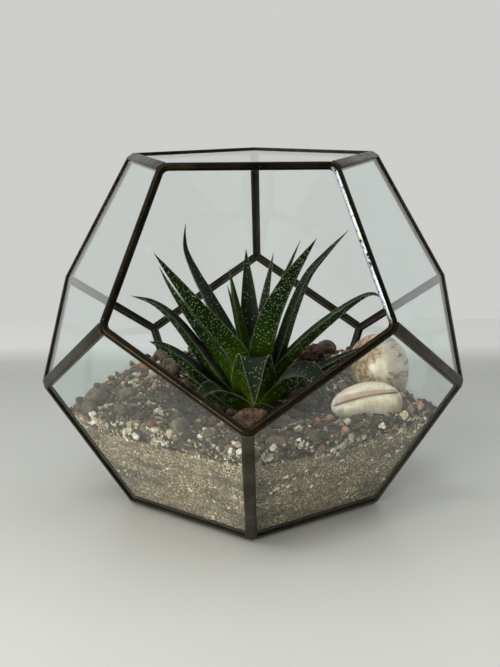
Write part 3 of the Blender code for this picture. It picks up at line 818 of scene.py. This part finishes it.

# %% [markdown]
# ## Pebbles, lava and brick
# Thirteen larger stones have solids of their own. Each is welded, smoothed by subdivision
# and then weathered: fired clay gets a crackled skin with pores, lava gets deep pits, and
# painted shade darkens their crags and pits.

# %% Weathered stones
def stone_skin(name, dark, usual, light, grain, depth):
    """Finish of one large stone: cloudy colours, dark pores and painted shade in its hollows.
    """
    made = finish(name, Roughness=0.93)
    clouds = ramp(made, speckle(made, 190, 6.0), (0.3, dark), (0.5, usual), (0.72, light))
    pores = between(made, grains(made, grain), 0.05, 0.32, 0.35, 1.0)
    body = blend(made, 1.0, clouds, pores, "MULTIPLY")
    shadow = tuple(0.35 * value for value in dark)
    # Painted shade: crags and pits blend towards a darker copy of the darkest colour.
    shade_in_hollows = times(made, attribute(made, "shade_in_hollows"), 0.85)
    paint(made, Base_Color=blend(made, shade_in_hollows, body, shadow))
    emboss(made, speckle(made, grain, 6.0), depth, 0.9)
    return made


STONES = {
    # start of the name: depth and scale of the roughening, then of the pits, in mm,
    # subdivisions, slot and finish
    "clay_pebble": ((0.5, 3.2, 0.45, 1.3), 2, "fired_clay",
                    stone_skin("fired_clay", (0.050, 0.037, 0.024), (0.115, 0.090, 0.061),
                               (0.21, 0.175, 0.130), 900, 0.0005)),
    "lava_stone": ((2.6, 5.0, 1.2, 1.7), 3, "lava",
                   stone_skin("lava_skin", (0.030, 0.014, 0.008), (0.090, 0.048, 0.028),
                              (0.19, 0.115, 0.072), 800, 0.0008)),
    "brick_chip": ((0.9, 3.5, 0.4, 1.2), 2, "brick",
                   stone_skin("brick_skin", (0.22, 0.07, 0.035), (0.42, 0.145, 0.065),
                              (0.52, 0.24, 0.13), 1000, 0.0004)),
}
for node in sorted(nodes):
    kind = node.rsplit("_", 1)[0]
    if kind not in STONES:
        continue
    measures, levels, slot, skin = STONES[kind]
    rough, rough_scale, pit, pit_scale = (value * MM for value in measures)
    stone = merged_copy(node, "weathered_" + node)
    modify(stone, "SUBSURF", levels=levels, render_levels=levels)
    shades_in_hollows = []
    for vertex, normal in with_normals(stone):
        crag = noise.turbulence(vertex.co / rough_scale, 4, True)
        pore = max(0.45 - noise.voronoi(vertex.co / pit_scale)[0][0], 0)
        vertex.co += normal * ((0.42 - crag) * rough - pore * pit)
        # Painted shade: how deep a point lies in a crag or pit, 0 to 1, for the finish to
        # darken.
        shades_in_hollows.append(min(max((crag - 0.40) * 2.2, 0) + pore * 1.3, 1))
    mark(stone.data, "shade_in_hollows", shades_in_hollows)
    smooth(stone)
    settle(stone, skin, slot, node)

# %% [markdown]
# ## Cowrie shells
# A cowrie is an egg, fuller at its back end and flatter below, where a long bowed slit
# opens between two toothed lips. A fine sphere is pressed into that form, then the slit
# is sunk into it and the lips and teeth are raised. The position along and across the
# shell is kept as an attribute, so that the markings follow the shell and not the room.

# %% Shell form
TOOTH_PITCH = 1.15 * MM


def hill(value, centre, spread):
    return math.exp(-((value - centre) / spread) ** 2)


def cowrie(name, node, size, centre, along, slit_way, slit_line, look):
    """slit_line tells how far the slit lies off the middle: c[0] + c[1] x + c[2] x^2."""
    length, width, height = (value * MM for value in size)
    deselect()
    bpy.ops.mesh.primitive_uv_sphere_add(segments=200, ring_count=110, radius=0.5,
                                         rotation=(0, math.pi / 2, 0))
    shell = just_added(name)
    bpy.ops.object.transform_apply()
    places, tooth_shade, shade_in_slit = [], [], []
    for vertex in shell.data.vertices:
        x, y, z = vertex.co
        places.extend((x, y, z))
        fuller = 1 + 0.28 * x
        flat = 0.62 if z < 0 else 1.0
        spot = Vector((x * length, y * width * fuller, z * flat * height * 1.2 * fuller))
        off = spot.y - (slit_line[0] + slit_line[1] * x + slit_line[2] * x * x) * width
        ends = ease(0.485 - abs(x), 0, 0.07)
        under = ease(-z, 0.0, 0.16)
        half = (0.50 - 0.25 * (x + 0.5)) * MM
        reach = (3.9 - 3.0 * (x + 0.5)) * MM
        sunk = 2.0 * MM * math.exp(-abs(off / half) ** 2.5)
        sunk += 1.5 * MM * ease(off, -reach - 0.8 * MM, 0) * ease(-off, -0.8 * MM, 0)
        ridge = 0.5 + 0.5 * math.cos(math.tau * (spot.x + 0.25 * off) / TOOTH_PITCH)
        band = ease(-off, half * 0.3, half) * ease(off, -reach - 1.0 * MM, -reach)
        lips = 1.0 * MM * hill(off, -reach - 2.2 * MM, 2.4 * MM)
        lips += 2.0 * MM * ease(off, 0.1 * MM, 2.0 * MM) * ease(-off, -9 * MM, -3 * MM)
        knob = 2.0 * MM * hill(x, -0.43, 0.05) * hill(off, 2.2 * MM, 1.9 * MM)
        knob += 1.5 * MM * hill(x, -0.465, 0.035) * hill(off, -1.9 * MM, 1.7 * MM)
        knob -= 0.9 * MM * hill(x, -0.335, 0.018) * ease(off, 0, 1.0 * MM)
        spot.z += (sunk - lips - 0.22 * MM * ridge * band) * ends * under - knob * under
        vertex.co = spot
        tooth_shade.append((0.35 + 0.65 * (1 - ridge)) * band * ends * under)
        # Painted shade in the slit, strongest along its middle.
        shade_in_slit.append(math.exp(-abs(off / (half * 1.1)) ** 3) * ends * under)
    x_axis = Vector(along).normalized()
    z_axis = -Vector(slit_way)
    z_axis = (z_axis - x_axis * z_axis.dot(x_axis)).normalized()
    turn = Matrix((x_axis, z_axis.cross(x_axis), z_axis)).transposed().to_4x4()
    shell.matrix_world = Matrix.Translation(Vector(centre) * MM) @ turn
    mark(shell.data, "shell_place", places, "FLOAT_VECTOR")
    mark(shell.data, "tooth", tooth_shade)
    mark(shell.data, "slit", shade_in_slit)
    smooth(shell)
    settle(shell, look, "shell", node)


# %% Shell finishes
def porcelain(name, back_pattern):
    """Satin cream shell: purplish lines between teeth, painted shade in the slit, optional
    brown back.
    """
    made = finish(name, Roughness=0.36, Coat_Weight=0.15, Coat_Roughness=0.22,
                  Subsurface_Weight=0.06, Subsurface_Scale=0.003)
    where = attribute(made, "shell_place", "Vector")
    body = ramp(made, speckle(made, 5, 3.0, where), (0.35, (0.66, 0.56, 0.37)),
                (0.6, (0.84, 0.77, 0.58)))
    growth = speckle(made, 1.0, 3.0, stretch(made, where, (46, 5, 5)))
    body = blend(made, 1.0, body, between(made, growth, 0.3, 0.7, 0.84, 1.05), "MULTIPLY")
    if back_pattern:
        body = back_markings(made, where, body)
    else:
        white_end = between(made, split(made, where)["X"], -0.34, -0.41, 0.0, 0.85)
        body = blend(made, white_end, body, (0.80, 0.78, 0.70))
    tooth = between(made, attribute(made, "tooth"), 0.3, 0.9, 0.0, 0.75)
    body = blend(made, tooth, body, (0.36, 0.18, 0.18))
    # Painted shade: the slit is darkened towards dark brown.
    slit = times(made, attribute(made, "slit"), 0.7)
    paint(made, Base_Color=blend(made, slit, body, (0.12, 0.07, 0.06)))
    emboss(made, speckle(made, 14, 4.0, where), 0.0002, 0.25)
    return made


def back_markings(made, where, body):
    """Tan mottled flank round a cream patch of painted highlight; mauve with dark dashes on the
    other.
    """
    wander = between(made, speckle(made, 6, 4.0, where), 0.2, 0.8, -0.16, 0.16)
    across = calculate(made, "ADD", split(made, where)["Y"], wander)
    mauve = between(made, across, -0.06, -0.16, 0.0, 0.8)
    body = blend(made, mauve, body, (0.50, 0.40, 0.36))
    pale_edge = between(made, across, -0.30, -0.38, 0.0, 0.8)
    body = blend(made, pale_edge, body, (0.74, 0.68, 0.56))
    dashes = speckle(made, 1.0, 4.0, stretch(made, where, (13, 5, 6)))
    dashes = times(made, between(made, dashes, 0.54, 0.62, 0.0, 0.95), mauve)
    body = blend(made, dashes, body, (0.13, 0.085, 0.085))
    # Painted highlight: a cream patch on top of the back is kept clear of tan and mottles.
    ends = {0: where, 1: (0.02, 0.0, 0.45)}
    from_painted_highlight = add(made, "VectorMath", ends, operation="DISTANCE").outputs["Value"]
    away = between(made, calculate(made, "ADD", from_painted_highlight, wander), 0.13, 0.24)
    flank = times(made, between(made, across, -0.10, 0.0), away)
    body = blend(made, times(made, flank, 0.75), body, (0.44, 0.31, 0.17))
    mottles = times(made, flank, between(made, speckle(made, 17, 6.0, where), 0.43, 0.54))
    return blend(made, mottles, body, (0.24, 0.125, 0.045))


cowrie("cowrie_slit_up", "cowrie_front", (36, 23, 19), (57, -31, 58), (1, 0.04, 0.06),
       (-0.1, -0.93, 0.35), (-0.17, -0.21, 0.26), porcelain("cream_porcelain", False))
cowrie("cowrie_back_up", "cowrie_back", (38, 30, 24), (67, 1, 67), (-0.25, 0.30, 0.92),
       (0.05, 0.92, -0.38), (0.05, 0.1, 0.0), porcelain("mottled_porcelain", True))

# %% [markdown]
# ## Leaves
# Each leaf is a thick wedge: hollowed above, keeled below, pointed at its tip. A flat
# grid is rolled up round the leaf's midline, so its own UV map runs along and round the
# leaf: across the upper side from 0 to 0.5, then back along the keel from 0.5 to 1.

# %% Where the leaves grow
LEAVES = (
    # name, azimuth, half width, taper, roll, midline as (distance from the axis, height)
    ("heart", -110, 5.4, 2.4, 0, ((0, 58), (4, 80), (8, 99), (13, 122))),
    ("heart_small", -130, 3.6, 2.2, 0, ((2, 57), (7, 78), (12, 96), (18, 112))),
    ("back", -168, 6.4, 2.4, 0, ((3, 55), (6, 80), (11, 104), (18, 130))),
    ("back_right", 150, 4.6, 2.0, 0, ((3, 55), (7, 82), (13, 105), (22, 128))),
    ("right_slim", 128, 4.4, 2.0, 0, ((4, 55), (9, 84), (16, 106), (25, 122), (32.5, 135))),
    ("front_right", 48, 9.2, 2.6, 0,
     ((3, 54), (6, 78), (11, 96), (20, 113), (31, 128), (43, 142))),
    ("front_left", -55, 8.8, 2.8, 0,
     ((3, 54), (9, 79), (17, 90), (33, 108), (45, 122), (57, 136))),
    ("back_left_tall", -125, 6.8, 2.0, 0,
     ((4, 55), (13, 80), (29, 104), (37, 115), (44, 127), (45, 135), (44, 143))),
    ("right_tall", 93, 6.4, 2.2, 14,
     ((4, 54), (13, 79), (20, 100), (28, 118), (38, 130), (50, 142))),
    ("left_dark", -82, 7.4, 2.2, 0, ((4, 53), (16, 77), (28, 94), (41, 113), (48, 125))),
    ("right_arching", 67, 7.2, 2.6, 14,
     ((4, 52), (11, 69), (27, 87), (43, 101), (57, 111), (65, 114), (71, 111))),
    ("left_arching", -78, 7.2, 2.6, -14,
     ((4, 51), (13, 61), (22, 73), (30, 85), (40, 98), (51, 107), (63, 111))),
    ("front", 2, 12.8, 1.6, 0,
     ((4, 52), (12, 68), (20, 79), (27, 83), (33, 81), (38, 74), (42, 62))),
    ("right_low", 82, 5.6, 2.6, 10,
     ((5, 50), (15, 60), (28, 67), (42, 75), (52, 80), (60, 84))),
    ("front_right_bent", 58, 10.5, 3.0, 16,
     ((5, 50), (14, 62), (24, 70.5), (33, 72.5), (39, 69), (43, 60))),
    ("left_low", -68, 7.8, 3.8, -14,
     ((5, 50), (14, 58), (27, 69), (38, 79), (48, 86), (56, 89))),
    ("left_under", -56, 5.4, 2.6, -10, ((5, 47), (15, 54), (26, 61), (37, 69), (45, 75))),
    ("front_left_low", -40, 8.4, 2.6, -10,
     ((5, 48), (13, 56), (22, 62), (31, 66), (38, 65), (43, 61))),
    ("front_low", 30, 6.5, 2.6, 0, ((5, 46), (13, 52.5), (21, 55.5), (29, 54.5), (35, 51.5))),
)
TWISTS = {"front": -8, "front_left_low": -10}  # further roll towards the tip
STEPS_ALONG = 44
STEPS_ROUND = 32
CURVE_STEPS = 12  # between two points of a midline
print("leaves:", len(LEAVES))


def smooth_path(points, steps):
    """Catmull-Rom curve through 2D points, read at even steps of its length."""
    points = [Vector(point) for point in points]
    ends = [2 * points[0] - points[1], *points, 2 * points[-1] - points[-2]]
    fine = []
    for k in range(1, len(ends) - 2):
        a, b, c, d = ends[k - 1:k + 3]
        for step in range(CURVE_STEPS):
            t = step / CURVE_STEPS
            fine.append(0.5 * (2 * b + (c - a) * t + (2 * a - 5 * b + 4 * c - d) * t ** 2
                               + (3 * b - a - 3 * c + d) * t ** 3))
    fine.append(points[-1])
    run = np.cumsum([0] + [(b - a).length for a, b in zip(fine, fine[1:])])
    wanted = np.linspace(0, run[-1], steps + 1)
    columns = [np.interp(wanted, run, [point[axis] for point in fine]) for axis in (0, 1)]
    return [Vector(place) for place in zip(*columns)]


def section(u):
    """Point of a leaf's section, 1 in half width: u 0 to 0.5 above, 0.5 to 1 below."""
    x = math.cos(math.tau * u)
    if u <= 0.5:
        return x, 0.20 * x * x - 0.10
    return x, 0.90 * abs(x) ** 1.5 - 0.80


class Leaf:
    """A leaf's midline, and the place of any point along it and round it."""

    def __init__(self, name, azimuth, half_width, taper, roll, midline):
        self.name = "leaf_" + name
        self.half_width = half_width * MM
        self.taper = taper
        self.roll = math.radians(roll)
        self.twist = math.radians(TWISTS.get(name, 0))
        self.outward = heading(azimuth)
        self.path = smooth_path(midline, STEPS_ALONG)
        self.length = sum((b - a).length for a, b in zip(self.path, self.path[1:])) * MM

    def width_at(self, t):
        full = (0.8 + 0.2 * ease(t, 0, 0.3)) * (1 - t ** self.taper)
        return self.half_width * max(full, 0.0)

    def frame_at(self, t):
        """Centre of the section, its side direction and its upper direction."""
        roll = self.roll + self.twist * ease(t, 0.35, 0.85)
        k = min(int(t * STEPS_ALONG), STEPS_ALONG - 1)
        share = t * STEPS_ALONG - k
        at = self.path[k].lerp(self.path[k + 1], share)
        before = self.path[max(k - 1, 0)]
        after = self.path[min(k + 2, STEPS_ALONG)]
        run = (after - before).normalized()
        left = UP.cross(self.outward)
        upper = UP * run.x - self.outward * run.y
        side = left * math.cos(roll) + upper * math.sin(roll)
        upper = upper * math.cos(roll) - left * math.sin(roll)
        centre = PLANT + (self.outward * at.x + UP * at.y) * MM
        return centre, side, upper

    def point(self, u, t):
        centre, side, upper = self.frame_at(t)
        x, y = section(u)
        return centre + (side * x + upper * y) * self.width_at(t)

    def normal(self, u, t):
        """Outward direction of the skin, from two short steps on it."""
        step_u, step_t = 0.004, 0.01
        across = self.point((u + step_u) % 1, t) - self.point((u - step_u) % 1, t)
        along = self.point(u, min(t + step_t, 1)) - self.point(u, max(t - step_t, 0))
        normal = along.cross(across).normalized()
        centre, _, _ = self.frame_at(t)
        return normal if normal.dot(self.point(u, t) - centre) > 0 else -normal


def roll_up(leaf):
    """Roll a flat grid into the leaf and weld its seam, foot and tip."""
    deselect()
    bpy.ops.mesh.primitive_grid_add(x_subdivisions=STEPS_ROUND, y_subdivisions=STEPS_ALONG,
                                    size=1, calc_uvs=True)
    obj = just_added("fine_" + leaf.name)
    for vertex in obj.data.vertices:
        u = vertex.co.x + 0.5
        t = vertex.co.y + 0.5
        foot = ease(t, 0.0, 0.03)
        at = leaf.point(u, t)
        centre, _, _ = leaf.frame_at(t)
        vertex.co = centre.lerp(at, max(foot, 0.001))
    edit_all()
    seal(0.03 * MM)
    pick(obj)
    bpy.ops.object.shade_smooth_by_angle(angle=math.radians(50))
    return obj


# %% [markdown]
# The skin is deep green and yellow-green at the foot, partly its own colour and partly a
# painted glow of light coming through. The upper side is greyer with a painted sheen that
# stands for the bright room mirrored in it. Pale lines follow the two margins and the keel.

# %% Leaf finish
def leaf_skin(name, foot, low, middle, tip, painted_sheen):
    made = finish(name, Roughness=0.44, Specular_IOR_Level=0.08)
    uv = add(made, "UVMap").outputs["UV"]
    along = split(made, uv)["Y"]
    wave = calculate(made, "SINE", times(made, split(made, uv)["X"], math.tau))
    streaks = speckle(made, 1.6, 4.0, stretch(made, uv, (26, 3, 1)))
    shifted = calculate(made, "ADD", along, between(made, streaks, 0.3, 0.7, -0.07, 0.07))
    # Yellow-green foot: partly the leaf's own colour, partly painted glow of light coming
    # through.
    green = ramp(made, shifted, (0.0, foot), (0.22, low), (0.47, middle), (0.97, tip))
    cloudy = between(made, speckle(made, 160, 5.0), 0.3, 0.7, 0.78, 1.2)
    green = blend(made, 1.0, green, cloudy, "MULTIPLY")
    # Painted sheen: the upper side turns grey, standing for the bright room mirrored in it.
    upper = times(made, between(made, wave, 0.02, 0.25),
                  between(made, along, 0.1, 0.5, 0.15, 0.75))
    green = blend(made, upper, green, painted_sheen)
    margin = between(made, calculate(made, "ABSOLUTE", wave), 0.07, 0.02, 0.0, 0.15)
    keel = between(made, wave, -0.990, -0.9995, 0.0, 0.10)
    lines = calculate(made, "MAXIMUM", margin, keel)
    paint(made, Base_Color=blend(made, lines, green, (0.36, 0.42, 0.27)))
    emboss(made, speckle(made, 900, 3.0), 0.00025, 0.4)
    return made


grown_skin = leaf_skin("green_skin", (0.14, 0.170, 0.003), (0.023, 0.050, 0.0005),
                       (0.0056, 0.0170, 0.0009), (0.0052, 0.0098, 0.0026),
                       (0.015, 0.0205, 0.0125))
young_skin = leaf_skin("lime_skin", (0.16, 0.21, 0.01), (0.09, 0.145, 0.004),
                       (0.032, 0.066, 0.002), (0.012, 0.023, 0.004), (0.04, 0.065, 0.010))
leaves = [Leaf(*row) for row in LEAVES]
for leaf in leaves:
    skin = young_skin if leaf.name == "leaf_heart" else grown_skin
    settle(roll_up(leaf), skin, "leaf", leaf.name)
nodes["crown"].material_slots[0].material = grown_skin

# %% [markdown]
# White tubercles stand on the leaves in loose rows, many on the keeled side and few on the
# upper one, and a row of fine teeth runs along each margin. Both are small spheres,
# flattened or drawn out, and copied to places worked out on each leaf's own skin.

# %% Tubercles and teeth
deselect()
bpy.ops.mesh.primitive_ico_sphere_add(subdivisions=1, radius=0.5)
bead_form = take_form(bpy.context.object)
ROW_PITCH = 1.45 * MM
SPOT_PITCH = 0.95 * MM
TOOTH_SPACING = 1.0 * MM
KEEL_SHARE = 0.70  # how many of the places hold a tubercle
UPPER_SHARE = 0.22 * KEEL_SHARE
wax = finish("waxy_white", Roughness=0.5)
paint(wax, Base_Color=ramp(wax, speckle(wax, 300), (0.3, (0.22, 0.27, 0.13)),
                           (0.7, (0.46, 0.50, 0.32))))


def bead_at(leaf, u, t, width, height):
    """Matrix of a bead that sits half sunk in the skin."""
    at = Matrix.Translation(leaf.point(u, t))
    return at @ standing_on(leaf.normal(u, t)) @ Matrix.Diagonal((width, width, height, 1))


rng = random.Random(31)
tubercles, teeth = [], []
for leaf in leaves:
    rows = int(leaf.length / ROW_PITCH)
    for row in range(3, rows):
        t = (row + rng.uniform(-0.35, 0.35)) / rows
        if not 0.12 <= t <= 0.96:
            continue
        count = max(int(leaf.width_at(t) * 2.5 / SPOT_PITCH), 1)
        for upper, share in ((False, KEEL_SHARE), (True, UPPER_SHARE)):
            for spot in range(count):
                if rng.random() > share * ease(t, 0.12, 0.55):
                    continue
                fraction = (spot + rng.uniform(0.15, 0.85)) / count
                u = math.acos(1 - 2 * min(max(fraction, 0.03), 0.97)) / math.tau
                u = u if upper else 1 - u
                size = rng.triangular(0.26, 0.66, 0.42) * MM
                at = t + rng.uniform(-0.012, 0.012)
                tubercles.append(bead_at(leaf, u, at, size, 0.5 * size))
    count = int(leaf.length / TOOTH_SPACING)
    for margin in (0.0, 0.5):
        for k in range(4, count):
            t = (k + rng.uniform(-0.2, 0.2)) / count
            teeth.append(bead_at(leaf, margin, min(t, 0.985), 0.34 * MM, 0.54 * MM))
heap("tubercles", [bead_form], tubercles, rng, wax, "leaf")
heap("margin_teeth", [bead_form], teeth, rng, wax, "leaf")

# %% [markdown]
# ## Size
# The finer pieces are meant to stay inside the exact part's box.
# Both boxes are gathered side by side, and the dressed one is printed.

# %% Both boxes
dressed_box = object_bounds()
sizes = {"cad": [list(corner) for corner in cad_box],
         "visual": [list(corner) for corner in dressed_box]}
print("box:", dressed_box)
